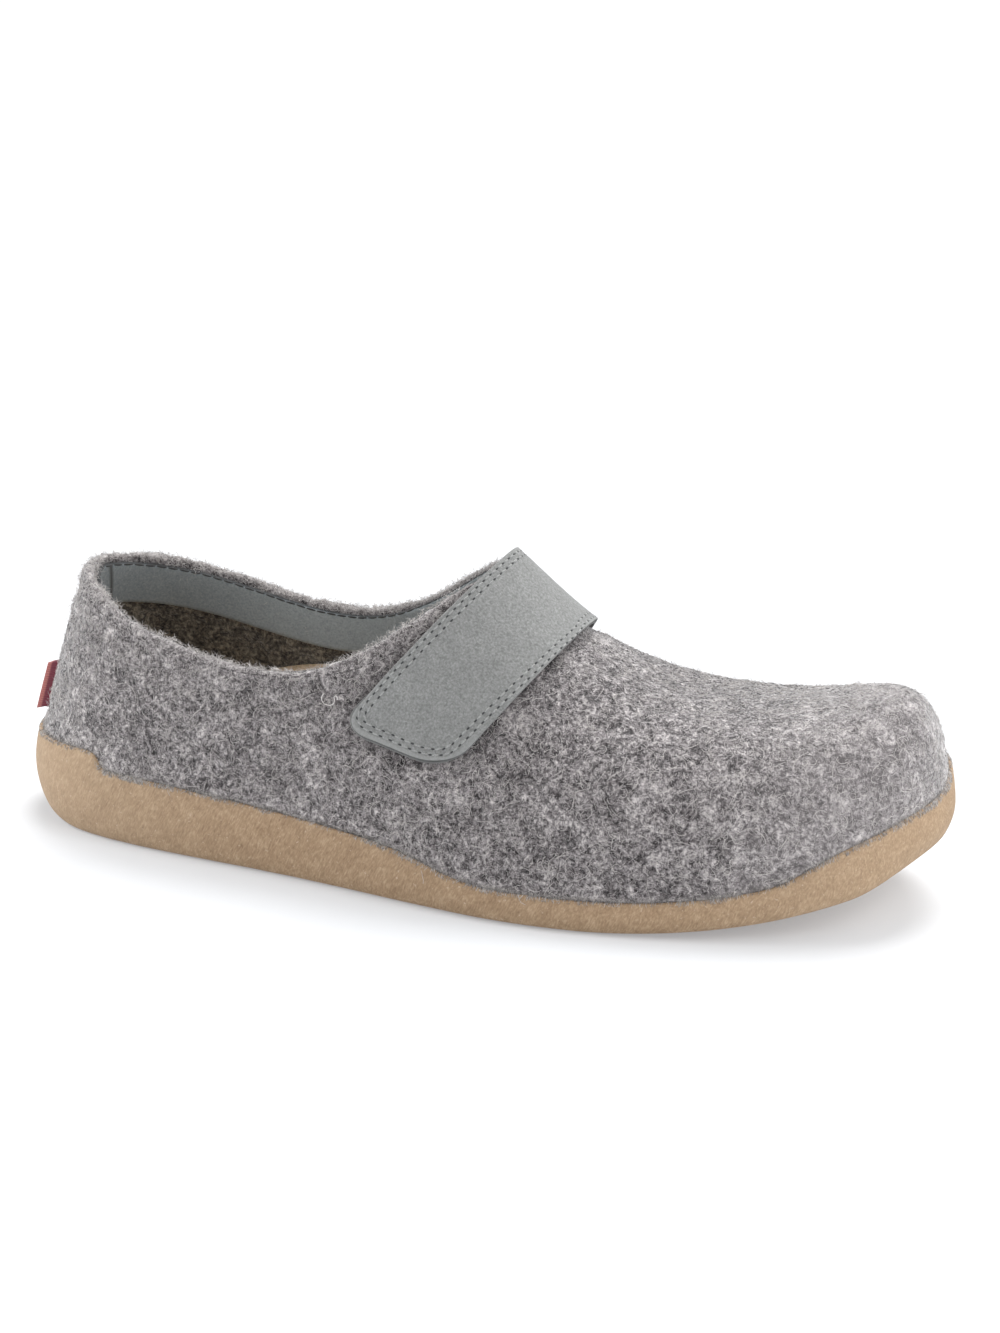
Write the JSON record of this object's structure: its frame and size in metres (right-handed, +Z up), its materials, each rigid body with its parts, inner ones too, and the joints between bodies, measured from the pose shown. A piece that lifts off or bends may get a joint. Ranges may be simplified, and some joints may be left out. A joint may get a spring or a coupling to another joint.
{
  "type": "wool slipper",
  "caption": "Closed-back wool felt slipper for the right foot, with a low collar, a suede instep strap, a contoured footbed and a rubber cup sole with heel cup, wedge and toe bumper",
  "frame": {"origin": "On the floor, at the middle of the slipper's length, heel tab included, and of the sole's width", "axes": "+X runs from the heel to the toe, +Y to the inner side of the foot, +Z up"},
  "size_m": [0.2729, 0.0966, 0.0887],
  "materials": {
    "tan_crepe_rubber": "matt natural crepe rubber with a fine cellular mottle",
    "grey_wool_felt": "thick fulled wool felt, heathered warm grey, fuzzy",
    "tan_suede_footbed": "pale tan suede with a short nap",
    "grey_facing_suede": "dark grey suede band, stitched along its upper edge",
    "grey_strap_suede": "mid grey suede, double stitched along its edges",
    "red_ribbon": "plain red woven ribbon, folded, blank"
  },
  "bodies": {
    "root": {"outsole": "tan_crepe_rubber", "upper": "grey_wool_felt", "insole": "tan_suede_footbed", "collar_facing": "grey_facing_suede", "strap": "grey_strap_suede", "heel_tab": "red_ribbon"}
  },
  "joints": []
}
